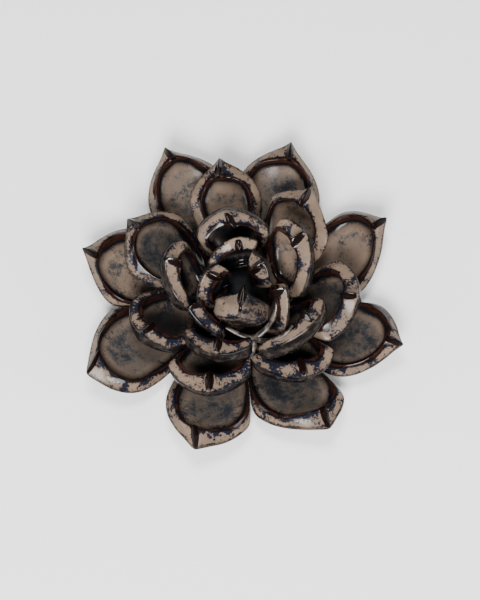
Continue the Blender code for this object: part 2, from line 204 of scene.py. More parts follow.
THIRD_LEAVES = [
    leaf_at(
        22.0, THIRD, root_radius=10.5, length=22.0, width=27.0, tip_rise=80.0, sway=-7.0, turn=3.0,
        band=3.2, after_band=0.3, before_band=1.4, tip_band=3.4, bevel=5.0, tip_bevel=5.0, lean=0.5,
    ),
    leaf_at(
        97.0, THIRD, root_radius=10.5, length=21.5, sway=-3.0, tip_band=2.2, bevel=3.0,
        tip_bevel=3.4, lean=2.5, pinch=2.2, glaze_row=2.8,
    ),
    leaf_at(
        178.0, THIRD, length=22.5, width=21.0, sway=5.0, sector=(29.0, 40.0), band=1.8, bevel=4.5,
        tip_bevel=5.0,
    ),
    leaf_at(
        253.0, THIRD, root_radius=14.1, root_height=17.5, length=23.0, root_rise=5.0,
        tip_rise=100.0, curl=0.8, sway=1.5, turn=10.0, sector=(26.0, 37.0), bevel=3.8, pinch=2.6,
        thick=7.0,
    ),
    leaf_at(
        309.5, THIRD, root_radius=14.6, length=25.5, width=27.0, cup=18.0, sway=-7.5, turn=6.0,
        point=1.0, bevel=3.9, tip_bevel=4.6, lean=-1.0,
    ),
]
INNER_LEAVES = [
    leaf_at(
        22.0, INNER, root_radius=3.0, root_height=24.5, width=13.0, root_rise=72.0, tip_rise=112.0,
        cup=9.0, turn=4.0, sector=(46.0, 38.0), point=1.1, tip_band=2.8, bevel=5.0, tip_bevel=6.0,
        thick=5.6,
    ),
    leaf_at(
        97.0, INNER, root_radius=6.8, root_height=23.5, width=24.0, root_rise=60.0, tip_rise=98.0,
        cup=10.0, turn=2.0, sector=(62.0, 30.5), bevel=2.9, tip_bevel=3.3, thick=5.0, glaze_row=3.0,
    ),
    leaf_at(
        184.0, INNER, root_radius=3.6, width=16.0, cup=11.0, turn=-38.0, sector=(48.0, 30.0),
        lean=2.0,
    ),
    leaf_at(
        227.0, INNER, root_radius=10.3, root_height=22.0, length=20.0, width=17.0, root_rise=10.0,
        tip_rise=95.0, curl=0.6, cup=14.0, sway=4.0, turn=-12.0, sector=(60.0, 12.0), bevel=5.0,
        tip_bevel=5.2, thick=5.6,
    ),
    leaf_at(
        319.0, INNER, root_radius=8.4, root_height=22.5, length=21.0, width=17.0, root_rise=0.0,
        tip_rise=100.0, curl=0.6, cup=30.0, sway=-5.5, turn=48.0, sector=(27.0, 60.0), bevel=4.0,
        tip_bevel=4.0, thick=4.5,
    ),
]
BUD_LEAF = leaf_at(
    268.0, INNER, root_radius=1.0, root_height=24.0, length=23.0, width=16.0, root_rise=15.0,
    tip_rise=112.0, curl=0.8, cup=13.0, turn=-6.0, tip_band=1.8, bevel=4.0, tip_bevel=7.0,
    pinch=3.5, thick=9.5, thin=0.3, glaze_row=1.6, keel=2.0, dark_side=0.6,
)
# The whorls by the names of their nodes, and whether their leaves share out the whole round
WHORLS = {
    "outer_leaf": (OUTER_LEAVES, True),
    "second_leaf": (SECOND_LEAVES, True),
    "third_leaf": (THIRD_LEAVES, True),
    "inner_leaf": (INNER_LEAVES, False),
    "bud_leaf": ([BUD_LEAF], False),
}

# How each leaf is glazed: how dark its dish is, as dark pooled glaze and painted shade, where the
# lowest values keep the dish as pale as the band as painted light; more or fewer specks on its band,
# more or fewer clouds in its dish, how far dark pooled glaze and painted shade fill its root, and
# the half width in mm of the dark line on its outer edge, which breaks up below 0
GLAZING = {
    "outer_leaf": [
        (0.06, -0.06, -0.02, 0.55, -0.4),
        (0.24, -0.06, 0.04, 0.75, -0.4),
        (0.20, -0.06, 0.04, 0.75, -0.4),
        (-0.10, -0.06, 0.00, 0.60, -0.4),
        (0.40, -0.02, 0.03, 0.75, -0.4),
        (0.34, -0.02, 0.06, 0.75, -0.3),
        (0.50, 0.00, 0.08, 0.75, -0.2),
        (0.50, 0.00, 0.06, 0.75, -0.3),
    ],
    "second_leaf": [
        (-0.05, -0.04, 0.00, 0.45, -0.3),
        (0.06, -0.05, -0.04, 0.55, -0.4),
        (0.60, -0.01, 0.08, 0.80, -0.3),
        (0.74, 0.02, 0.02, 0.80, 0.0),
        (0.50, 0.035, 0.02, 0.50, 0.0),
        (0.62, 0.025, 0.02, 0.70, 0.0),
        (0.62, -0.01, 0.04, 0.80, -0.2),
    ],
    "third_leaf": [
        (-0.10, -0.03, 0.03, 0.20, 0.0),
        (0.78, -0.02, 0.02, 0.70, 0.0),
        (0.97, 0.01, 0.00, 0.90, 0.1),
        (0.85, 0.045, 0.05, 0.90, 0.1),
        (0.85, -0.04, 0.00, 0.90, 0.1),
    ],
    "inner_leaf": [
        (0.95, 0.01, 0.00, 0.80, 0.1),
        (0.98, -0.02, 0.00, 0.90, 0.1),
        (0.98, 0.01, 0.00, 0.90, 0.1),
        (0.80, 0.05, 0.05, 0.90, 0.1),
        (0.98, -0.02, 0.00, 0.90, 0.1),
    ],
    "bud_leaf": [(0.95, 0.04, 0.00, 0.90, -0.3)],
}

# Runs of glaze that bridge the hollow below the bud: the radius at the end of each, and points of
# its path from the knot where the runs meet
GLAZE_RUNS = [
    (
        0.6,
        [(3.4, -22.0, 26.7), (5.2, -21.2, 27.3), (8.1, -19.2, 28.5), (10.7, -16.9, 31.0)]
        + [(12.2, -14.0, 34.0), (12.6, -10.8, 36.0)],
    ),
    (
        0.5,
        [(6.0, -21.6, 27.0), (4.2, -21.5, 27.2), (1.9, -21.4, 28.0), (-0.7, -20.6, 28.5)]
        + [(-3.3, -19.5, 29.5), (-5.9, -18.3, 30.0)],
    ),
    (
        0.3,
        [(3.2, -21.1, 26.8), (5.0, -21.8, 27.4), (7.4, -23.2, 29.0), (10.4, -24.1, 32.0)]
        + [(13.7, -23.5, 34.5), (16.7, -21.7, 36.0), (18.2, -19.6, 36.8)],
    ),
    (
        0.5,
        [(4.8, -20.2, 26.8), (4.5, -22.2, 27.1), (4.3, -24.3, 27.5), (3.7, -26.7, 26.5)]
        + [(3.4, -28.0, 23.5)],
    ),
]
KNOT_RADIUS = 1.6
RUN_FLATNESS = 0.7
RUN_ROWS = 60
RUN_SEGMENTS = 32


# Shapes


def smooth(value, low, high):
    """0 under low, 1 over high and an even S between them."""
    share = np.clip((value - low) / (high - low), 0, 1)
    return share * share * (3 - 2 * share)


def ripple(points, seed, length, count=7):
    """Mean of a few sine waves of about that length that run in different directions."""
    rng = np.random.default_rng(seed)
    heading = rng.normal(size=(count, points.shape[-1]))
    heading /= np.linalg.norm(heading, axis=1, keepdims=True)
    waves = heading * (2 * math.pi / (length * rng.uniform(0.7, 1.4, (count, 1))))
    return np.sin(points @ waves.T + rng.uniform(0, 2 * math.pi, count)).mean(-1)


def hub_clearance(points):
    """Distance from each point to the hub's surface, negative inside it."""
    outline = np.array(HUB_PROFILE)
    start, along = outline[:-1], np.diff(outline, axis=0)
    spot = np.stack([np.hypot(points[:, 0], points[:, 1]), points[:, 2]], -1)[:, None]
    share = ((spot - start) * along).sum(-1) / (along**2).sum(-1)
    nearest = start + along * np.clip(share, 0, 1)[..., None]
    distance = np.linalg.norm(spot - nearest, axis=-1).min(axis=1)
    below, above = outline[1:, 1], outline[:-1, 1]
    across = (spot[..., 1] > below) & (spot[..., 1] <= above)
    fall = np.where(above == below, 1.0, above - below)
    edge = outline[:-1, 0] + along[:, 0] * (above - spot[..., 1]) / fall
    inside = (across & (edge > spot[..., 0])).any(axis=1)
    return np.where(inside, -distance, distance)


def crowded(turn):
    """Angles round a leaf, drawn together towards the tip at 0."""
    return turn - TIP_CROWDING * np.sin(turn)


def leaf_rings(leaf, reach, turn):
    """Ten rings round the flat leaf, from the middle of its back to the middle of its dish.

    Each ring is an oval of (x, y, n): x across, y from root to tip and n out of the dish. The
    half towards the tip is drawn in by a power of the sine to a point with a small cusp.
    """
    off_tip = (turn + math.pi) % (2 * math.pi) - math.pi
    ahead, aside = np.cos(turn), np.sin(turn)
    side, to_tip = np.sign(aside), ahead >= 0

    def at_tip(angle):
        return np.exp(-((off_tip / angle) ** 2))

    half, middle = leaf["width"] / 2, leaf["length"] * leaf["widest"]
    to_end = leaf["length"] - leaf["cusp"] - middle
    tip_y = to_end * ahead + leaf["cusp"] * at_tip(DRAWN_OUT)
    edge_y = middle + np.where(to_tip, tip_y, (middle + reach) * ahead)
    edge_x = side * half * np.abs(aside) ** np.where(to_tip, leaf["point"], leaf["root_taper"])
    to_end = leaf["length"] - leaf["tip_band"] - middle
    lip_y = middle + np.where(to_tip, to_end, middle - leaf["band"]) * ahead
    band = leaf["band"] * np.where(side > 0, leaf["before_band"], leaf["after_band"])
    lip_x = side * (half - band) * np.abs(aside) ** np.where(to_tip, LIP_TO_TIP, LIP_TO_ROOT)
    lip_x = lip_x + leaf["lean"] * at_tip(LEANT)
    steeper = leaf["tip_bevel"] - leaf["bevel"]
    fall = leaf["bevel"] + steeper * np.clip(ahead, 0, 1) ** BEVEL_TO_TIP
    swell = TIP_SWELL * at_tip(CORNERED) / math.hypot(leaf["tip_bevel"], leaf["tip_band"])
    raised = leaf["pinch"] * (at_tip(CORNERED) + at_tip(PINCHED)) / 2
    thick, depth, sag = leaf["thick"], leaf["depth"], leaf["sag"]

    def ring(x, y, n):
        return np.stack(np.broadcast_arrays(x, y, n, turn)[:3], -1)

    def inwards(x, y, share):
        return x * (1 - share), y + (middle - y) * share

    floor_x, floor_y = inwards(lip_x, lip_y, WALL_RUN / max(half - leaf["band"], 1.0))
    mid_x, mid_y = (edge_x + lip_x) / 2, (edge_y + lip_y) / 2 + swell * leaf["tip_bevel"]
    return np.stack(
        [
            ring(0, middle, -thick),
            ring(*inwards(edge_x, edge_y, 0.60), -thick),
            ring(*inwards(edge_x, edge_y, 0.24), -0.93 * thick),
            ring(*inwards(edge_x, edge_y, 0.05), -fall - 1.0),
            ring(edge_x, edge_y, -fall),
            ring(mid_x, mid_y, -0.34 * fall + swell * leaf["tip_band"] + raised / 2),
            ring(lip_x, lip_y, raised),
            ring(floor_x, floor_y, -0.85 * depth + raised / 2),
            ring(*inwards(floor_x, floor_y, 0.5), -depth - 0.75 * sag),
            ring(0, middle, -depth - sag),
        ]
    )


def thinned(leaf, points):
    """The leaf's body grows from the thin share at its root to its full thickness."""
    grown = smooth(points[..., 1], 0, FULL_BODY * leaf["length"])
    body = leaf["thin"] + (1 - leaf["thin"]) * grown
    return points * np.stack([np.ones_like(body), np.ones_like(body), body], -1)


def bend(leaf, points):
    """Carries flat leaf points on to the rising, curling midline of the leaf.

    The slope at a share t of the length is root_rise + (tip_rise - root_rise) * t ** curl. Across
    the midline the leaf follows a trough of radius cup, and it twists by turn about its middle.
    """
    late = np.clip(MIDLINE, 0, None) ** leaf["curl"]
    slope = np.radians(leaf["root_rise"] + (leaf["tip_rise"] - leaf["root_rise"]) * late)
    step = leaf["length"] * (MIDLINE[1] - MIDLINE[0])
    between = (slope[1:] + slope[:-1]) / 2
    out = np.concatenate([[0], np.cumsum(np.cos(between) * step)])
    up = np.concatenate([[0], np.cumsum(np.sin(between) * step)])
    out += leaf["root_radius"] - np.interp(0, MIDLINE, out)
    up += leaf["root_height"] - np.interp(0, MIDLINE, up)
    x, n = points[..., 0], points[..., 2]
    along = points[..., 1] / leaf["length"]
    tilt = np.interp(along, MIDLINE, slope)
    cup = leaf["cup"]
    across = (cup - n) * np.sin(x / cup) + leaf["sway"] * np.clip(along, 0, None) ** 2
    lift = cup - (cup - n) * np.cos(x / cup)
    radius = np.interp(along, MIDLINE, out) - lift * np.sin(tilt)
    height = np.interp(along, MIDLINE, up) + lift * np.cos(tilt)
    pivot = 0.75 * (leaf["root_radius"] + 0.8 * leaf["length"])
    turn = math.radians(leaf["turn"]) * smooth(2 * along, 0, 1)
    ahead = pivot + (radius - pivot) * np.cos(turn) + across * np.sin(turn)
    aside = (radius - pivot) * np.sin(turn) - across * np.cos(turn)
    return np.stack([ahead, aside, height], -1)


def squeeze(leaf, points):
    """Rounds a leaf's edges off where they would pass the middle between it and its neighbours."""
    if leaf["sector"] is None:
        return points
    radius = np.hypot(points[..., 0], points[..., 1])
    angle = np.arctan2(points[..., 1], points[..., 0])
    limit = np.radians(np.where(angle > 0, *leaf["sector"]))
    limit = limit - SECTOR_MARGIN / np.maximum(radius, 1.0)
    filled, give = np.abs(angle) / limit, leaf["give"]
    eased = give + (1 - give) * np.tanh((filled - give) / (1 - give))
    angle = np.sign(angle) * limit * np.where(filled > give, eased, filled)
    return np.stack([radius * np.cos(angle), radius * np.sin(angle), points[..., 2]], -1)


def formed(leaf, points):
    """Flat leaf points in their place on the flower, at azimuth 0."""
    return squeeze(leaf, bend(leaf, thinned(leaf, points)))


def seated_reach(leaf):
    """How far the root has to run on for the leaf to stop just short of the hub."""
    turn = crowded(np.arange(CAD_SEGMENTS) / CAD_SEGMENTS * 2 * math.pi)
    short, long = LEAST_REACH, MOST_REACH
    for _ in range(24):
        reach = (short + long) / 2
        points = formed(leaf, leaf_rings(leaf, reach, turn))
        clear = hub_clearance(points.reshape(-1, 3)).min()
        short, long = (short, reach) if clear < HUB_CLEARANCE else (reach, long)
    return short


def rounded_rows(positions, rings, rows):
    """Weights of the rings in each row of a surface, as a uniform cubic B-spline.

    Its control points lie at those positions between the rings. Where positions stand close to
    one another the surface turns a tight corner, and elsewhere it sweeps.
    """
    positions = np.array(positions, float)
    low = np.minimum(positions.astype(int), rings - 2)
    mixed = np.zeros((len(positions), rings))
    mixed[np.arange(len(positions)), low] = 1 - (positions - low)
    mixed[np.arange(len(positions)), low + 1] += positions - low
    at = np.linspace(1, len(positions) - 2 - 1e-9, rows)
    first, t = at.astype(int) - 1, at % 1
    shares = np.stack(
        [(1 - t) ** 3, 3 * t**3 - 6 * t**2 + 4, -3 * t**3 + 3 * t**2 + 3 * t + 1, t**3]
    )
    return sum(shares[i][:, None] / 6 * mixed[first + i] for i in range(4))


def wavered(leaf, rings, turn, seed, wobble):
    """The rings, of which edge and lip are pinched unevenly, as by hand, but for the root.

    Their distance from the middle of the leaf grows and shrinks with a ripple round the leaf.
    """
    middle = np.array([0.0, leaf["length"] * leaf["widest"], 0.0])
    free = smooth(np.cos(turn), -0.9, -0.2)[:, None]
    circle = np.stack([np.cos(turn), np.sin(turn)], -1)
    edge_wave = 1 + wobble * free * ripple(circle, seed, EDGE_WAVE)[:, None]
    lip_wave = 1 + LIP_WOBBLE * wobble * free * ripple(circle, seed + 50, LIP_WAVE)[:, None]
    edge, lip = slice(OUTER_EDGE - 2, OUTER_EDGE + 1), slice(LIP, LIP + 2)
    for near, wave in ((edge, edge_wave), (lip, lip_wave)):
        moved = middle + (rings[near] - middle) * [1, 1, 0] * wave
        rings[near] = moved + rings[near] * [0, 0, 1]
    return rings


def ways_over(leaf, flat, row):
    """Ways over the leaf's surface: from its lip, from its glaze row, and round the lip."""
    steps = np.linalg.norm(np.diff(flat, axis=0), axis=-1)
    run = np.concatenate([np.zeros((1, steps.shape[1])), np.cumsum(steps, axis=0)])
    at_lip, at_rim = (np.abs(row[:, 0] - mark).argmin() for mark in (LIP, leaf["glaze_row"]))
    stretch = np.linalg.norm(np.diff(flat[at_lip], axis=0), axis=-1)
    around = np.concatenate([[0], np.cumsum(stretch)])
    around = around - around[len(around) // 2]
    return run[at_lip] - run, run - run[at_rim], np.broadcast_to(around, run.shape)


def tip_seam(leaf, flat, row, turn, width):
    """Relief of the seam across the band at the tip, from 0 to 1, and where it is dark.

    Across the leaf the relief is a squared cosine, and along the band it swells to a belly.
    """
    band = (LIP - row) / (LIP - OUTER_EDGE)
    belly = np.sin(math.pi * np.clip((band + 0.2) / 1.3, 0, 1))
    off_middle = np.abs(flat[..., 0] - flat[:, LEAF_SEGMENTS // 2, :1])
    aside = off_middle / (width * (SEAM_END + SEAM_BELLY * belly))
    length = smooth(band, -0.2, 0.0) * (np.cos(turn) > 0)
    relief = np.cos(0.5 * math.pi * np.clip(aside, 0, 1)) ** 2 * length * (0.25 + 0.75 * belly)
    relief = relief * (1 - smooth(band, 0.9, 1.1))
    dark = (1 - smooth(aside, 0.45, 1.25)) * length * (1 - smooth(band - leaf["keel"], -0.1, 0.1))
    return relief, dark


def leaf_surface(leaf, glazing, seed, sizes):
    """Grid of points over one leaf and what the glaze does at each of them.

    Rows run from the back's middle over the edge and the lip to the dish's middle, and columns
    round the leaf with the tip in the middle column. The seam swells out of the band at the tip,
    and fine ripples make the surface uneven.
    """
    turn = crowded(np.linspace(-math.pi, math.pi, LEAF_SEGMENTS + 1))
    rings = leaf_rings(leaf, seated_reach(leaf), turn)
    rings = wavered(leaf, rings, turn, seed, sizes["wobble"])
    weights = rounded_rows(SECTION, len(rings), LEAF_ROWS)
    row = (weights @ np.arange(len(rings)))[:, None]
    flat = np.einsum("rk,kac->rac", weights, rings)
    lip, rim, around = ways_over(leaf, flat, row)
    relief, seam = tip_seam(leaf, flat, row, turn, sizes["ridge_width"])
    outwards = np.array([0.0, leaf["tip_bevel"], leaf["tip_band"]])
    outwards = outwards / np.linalg.norm(outwards)
    flat = flat + (relief * sizes["ridge_height"])[..., None] * outwards
    grain = sum(ripple(flat, seed + more, length) * height for more, length, height in GRAIN)
    flat[..., 2] += grain * smooth(row, 1.5, 4.0) * (1 - relief)
    pool, specks, cloud, pooled, line = glazing
    half = leaf["dark_side"] * smooth(-flat[..., 0], 0.0, 1.5) * (1 - smooth(row, 5.2, 5.8))
    masks = {
        "lip": lip,
        "rim": rim,
        "ridge": seam,
        "dish": np.broadcast_to(smooth(row, 6.9, 8.0), lip.shape),
        "underside": np.maximum(1 - smooth(row - leaf["glaze_row"], -0.45, 0.15), half),
        # Dark pooled glaze and painted shade towards the root, gone by three quarters of the length
        "root": pooled * (1 - smooth(flat[..., 1] / leaf["length"], 0.2, 0.75)),
    }
    for name, value in (("line", line), ("pool", pool), ("specks", specks), ("cloud", cloud)):
        masks[name] = np.full_like(lip, value)
    return formed(leaf, flat), masks, (around, lip)


def tube(path, end, seed):
    """Grid of points of a closed tube along the uniform cubic B-spline of a path.

    Its section is an oval square to the path. Its radius goes from the knot's to that at the end,
    a little uneven, and rounds off to nothing at both ends.
    """
    last = len(path) - 1
    along = rounded_rows([0, 0, *range(last + 1), last, last], last + 1, RUN_ROWS) @ np.array(path)
    ahead = np.gradient(along, axis=0)
    across = np.cross(ahead, [0, 0, 1])
    across /= np.linalg.norm(across, axis=1, keepdims=True)
    upward = np.cross(across, ahead)
    upward /= np.linalg.norm(upward, axis=1, keepdims=True)
    share = np.linspace(0, 1, len(along))
    radius = (KNOT_RADIUS + (end - KNOT_RADIUS) * share) * (1 + 0.3 * ripple(along, seed, 5.0))
    radius = radius * np.sqrt(1 - (2 * share - 1) ** 12)
    angle = np.linspace(0, 2 * math.pi, RUN_SEGMENTS + 1)[:, None]
    oval = np.cos(angle) * across[:, None] + RUN_FLATNESS * np.sin(angle) * upward[:, None]
    return along[:, None] + radius[:, None, None] * oval


def hub_surface():
    """Grid of points of the hub, whose rounded outline is carried once round the axis."""
    section = rounded_rows(HUB_LINE, len(HUB_PROFILE), HUB_ROWS) @ np.array(HUB_PROFILE)
    angle = np.linspace(0, 2 * math.pi, HUB_SEGMENTS + 1)
    radius, height = section[:, :1], section[:, 1:]
    return np.stack(np.broadcast_arrays(radius * np.cos(angle), radius * np.sin(angle), height), -1)


def turned(points, azimuth):
    """Points turned about the flower's axis."""
    c, s = math.cos(azimuth), math.sin(azimuth)
    return points @ np.array([[c, s, 0], [-s, c, 0], [0, 0, 1]])


# Meshes


def closed_mesh(name, points, masks=None, flow=None):
    """Mesh of a grid whose first and last rows are poles and whose last column is its first again.

    Masks become float attributes on the points and flow, two grids, the UV map of that name.
    """
    rows, columns = points.shape[0], points.shape[1] - 1
    body = points[1:-1, :-1].reshape(-1, 3)
    corners = np.concatenate([points[:1, 0], body, points[-1:, 0]]) * MM
    r, c = np.meshgrid(np.arange(rows - 1), np.arange(columns), indexing="ij")
    grid_r = np.stack([r, r, r + 1, r + 1], -1).reshape(-1, 4)
    grid_c = np.stack([c, c + 1, c + 1, c], -1).reshape(-1, 4)
    index = 1 + (grid_r - 1) * columns + grid_c % columns
    index = np.where(grid_r == 0, 0, np.where(grid_r == rows - 1, len(corners) - 1, index))
    a, b, e, d = (corners[index[:, side]] for side in range(4))
    volume = (np.cross(a, b) * e).sum() + (np.cross(a, e) * d).sum()
    if volume < 0:
        index, grid_r, grid_c = index[:, ::-1], grid_r[:, ::-1], grid_c[:, ::-1]
    whole = index != np.roll(index, 1, axis=1)
    totals = whole.sum(1)
    starts = np.concatenate([[0], np.cumsum(totals)[:-1]])
    mesh = bpy.data.meshes.new(name)
    mesh.vertices.add(len(corners))
    mesh.vertices.foreach_set("co", corners.astype(np.float32).ravel())
    mesh.loops.add(int(totals.sum()))
    mesh.loops.foreach_set("vertex_index", index[whole].astype(np.int32))
    mesh.polygons.add(len(index))
    mesh.polygons.foreach_set("loop_start", starts.astype(np.int32))
    mesh.polygons.foreach_set("use_smooth", np.ones(len(index), bool))
    mesh.update(calc_edges=True)
    if mesh.validate():
        raise RuntimeError(f"{name} has faces that don't close")
    for title, grid in (masks or {}).items():
        values = np.concatenate([grid[:1, 0], grid[1:-1, :-1].ravel(), grid[-1:, 0]])
        layer = mesh.attributes.new(title, "FLOAT", "POINT")
        layer.data.foreach_set("value", values.astype(np.float32))
    if flow is not None:
        spread = np.stack([grid[grid_r[whole], grid_c[whole]] for grid in flow], -1)
        layer = mesh.uv_layers.new(name="flow")
        layer.data.foreach_set("uv", spread.astype(np.float32).ravel())
    return mesh


def add_piece(name, mesh, material, nodes):
    """Links a finished piece, which rides on the flower's body and stands for those CAD nodes."""
    piece = bpy.data.objects.new(name, mesh)
    bpy.context.scene.collection.objects.link(piece)
    mesh.materials.append(material)
    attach(piece, "root")
    if nodes:
        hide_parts(*nodes)


# Node trees


class Wire:
    """An output of a shader node, which can be added, subtracted and multiplied like a number."""

    def __init__(self, tree, socket):
        self.tree, self.socket = tree, socket

    def __add__(self, other):
        return calc("ADD", self, other)

    def __sub__(self, other):
        return calc("SUBTRACT", self, other)

    def __rsub__(self, other):
        return calc("SUBTRACT", other, self)

    def __mul__(self, other):
        return calc("MULTIPLY", self, other)


def feed(node, **inputs):
    """Sets inputs of a node by their names, or as i0, i1 and so on, to values or to wires."""
    for key, value in inputs.items():
        socket = node.inputs[int(key[1:]) if key[1:].isdigit() else key.replace("_", " ")]
        if isinstance(value, Wire):
            value.tree.links.new(value.socket, socket)
        else:
            socket.default_value = value


def place(tree, kind, settings, output, **inputs):
    """Wire of that output of a new node with its settings and its inputs."""
    node = tree.nodes.new("ShaderNode" + kind)
    for key, value in settings.items():
        setattr(node, key, value)
    feed(node, **inputs)
    return Wire(tree, node.outputs[output])


def calc(operation, *values):
    """Wire of a Math node."""
    tree = next(value.tree for value in values if isinstance(value, Wire))
    inputs = {f"i{index}": value for index, value in enumerate(values)}
    return place(tree, "Math", {"operation": operation}, 0, **inputs)


def largest(first, *others):
    """Wire of the largest of some values."""
    for other in others:
        first = calc("MAXIMUM", first, other)
    return first


def ease(value, low, high, start=0.0, end=1.0):
    """Wire of a smooth Map Range from start under low to end over high."""
    limits = {"From_Min": low, "From_Max": high, "To_Min": start, "To_Max": end}
    smoothly = {"interpolation_type": "SMOOTHSTEP"}
    return place(value.tree, "MapRange", smoothly, 0, Value=value, **limits)


def noise(vector, scale, detail=4.0, roughness=0.6, distortion=0.0):
    """Wire of a Noise Texture's factor."""
    grain = {"Scale": scale, "Detail": detail, "Roughness": roughness, "Distortion": distortion}
    return place(vector.tree, "TexNoise", {}, 0, Vector=vector, **grain)


def blended(factor, under, over):
    """Wire of a Mix node's colour."""
    return place(factor.tree, "Mix", {"data_type": "RGBA"}, 2, i0=factor, i6=under, i7=over)


def relief_of(height, strength, distance):
    """Wire of a Bump node's normal."""
    return place(height.tree, "Bump", {}, 0, Height=height, Strength=strength, Distance=distance)


def node_group(**inputs):
    """Turns a function from the wires of those inputs to named wires into a shader node group.

    An input is a number by default, or a vector where it is None. The group is named after the
    function, built when it is first asked for and found again after that.
    """

    def wrap(build):
        def group():
            name = build.__name__
            if name in bpy.data.node_groups:
                return bpy.data.node_groups[name]
            tree = bpy.data.node_groups.new(name, "ShaderNodeTree")
            for title, default in inputs.items():
                kind = "NodeSocketVector" if default is None else "NodeSocketFloat"
                title = title.replace("_", " ")
                socket = tree.interface.new_socket(title, in_out="INPUT", socket_type=kind)
                if default is not None:
                    socket.default_value = default
            given = tree.nodes.new("NodeGroupInput").outputs
            made = build(*[Wire(tree, given[index]) for index in range(len(inputs))])
            for title in made:
                tree.interface.new_socket(title, in_out="OUTPUT", socket_type="NodeSocketFloat")
            feed(tree.nodes.new("NodeGroupOutput"), **made)
            return tree

        return group

    return wrap


def use(group, tree, **inputs):
    """Wires of the outputs of a node group by their names."""
    node = tree.nodes.new("ShaderNodeGroup")
    node.node_tree = group()
    feed(node, **inputs)
    return {socket.name: Wire(tree, socket) for socket in node.outputs}


# Effects of the glaze


@node_group(Vector=None, Pull=0.0, Amount=0.0)
def pigment_speckle(vector, pull, amount):
    """Fine pigment specks that gather in patches, thicker where Pull is high."""
    patches = noise(vector, 160.0, 3.0, 0.6, 0.4)
    specks = noise(vector, 1150.0, 5.0, 0.74, 0.3)
    level = specks + patches * 1.1 + pull * 0.18 + amount - 0.55
    return {"Mask": ease(level, 0.580, 0.615), "Haze": ease(level, 0.46, 0.72)}


@node_group(
    Distance=0.0, Flow=None, Vector=None, Middle=0.0, Half_Width=1.0, Ragged=0.8, Soft=1.0
)
def broken_edge(distance, flow, vector, middle, half_width, ragged, soft):
    """Dark glaze that breaks over a leaf's lip in a ragged line with teeth across the band."""
    across = place(flow.tree, "Mapping", {}, 0, Vector=flow, Scale=(1.15, 0.30, 1.0))
    teeth = noise(across, 1.0, 5.0, 0.65) - 0.5
    swing = noise(vector, 210.0, 3.0) - 0.5
    inner = distance - middle
    beyond = calc("ABSOLUTE", inner) - (swing * 1.6 + teeth * 1.5) * ragged - half_width
    beyond = beyond * ease(inner, -0.4, 0.2, soft, 1.0)
    return {
        "Core": ease(beyond, -0.35, -0.10, 1.0, 0.0),
        "Border": ease(beyond, 0.15, 0.75, 1.0, 0.0),
        "Near": ease(beyond, 0.0, 2.6, 1.0, 0.0) * ease(inner, -0.4, 0.2),
    }


@node_group(Vector=None, Dish=0.0, Heart=0.0, Amount=0.0)
def dish_clouds(vector, dish, heart, amount):
    """Soft mottled clouds that gather in the heart of a dish, broken up by finer curds."""
    broad = noise(vector, 95.0, 4.0, 0.6, 0.8) + heart * 0.09
    level = noise(vector, 600.0, 5.0, 0.78, 0.5) * 0.85 + broad + amount - 0.215
    return {"Mask": ease(level, 0.74, 0.93) * dish, "Curds": ease(level, 0.86, 1.0) * dish}


@node_group(Vector=None)
def glaze_skin(vector):
    """Low relief of a fired glaze, which pools broadly with an orange peel, and its dullness."""
    pooling, peel = noise(vector, 260.0, 3.0, 0.5), noise(vector, 1500.0, 3.0, 0.55)
    return {"Height": peel * 0.16 + pooling, "Dullness": noise(vector, 340.0)}


# Materials


def new_material(name):
    """A new material, its shader and the wire of the coordinates on the object."""
    material = bpy.data.materials.new(name)
    material.use_nodes = True
    tree = material.node_tree
    return material, tree.nodes["Principled BSDF"], place(tree, "TexCoord", {}, "Object")


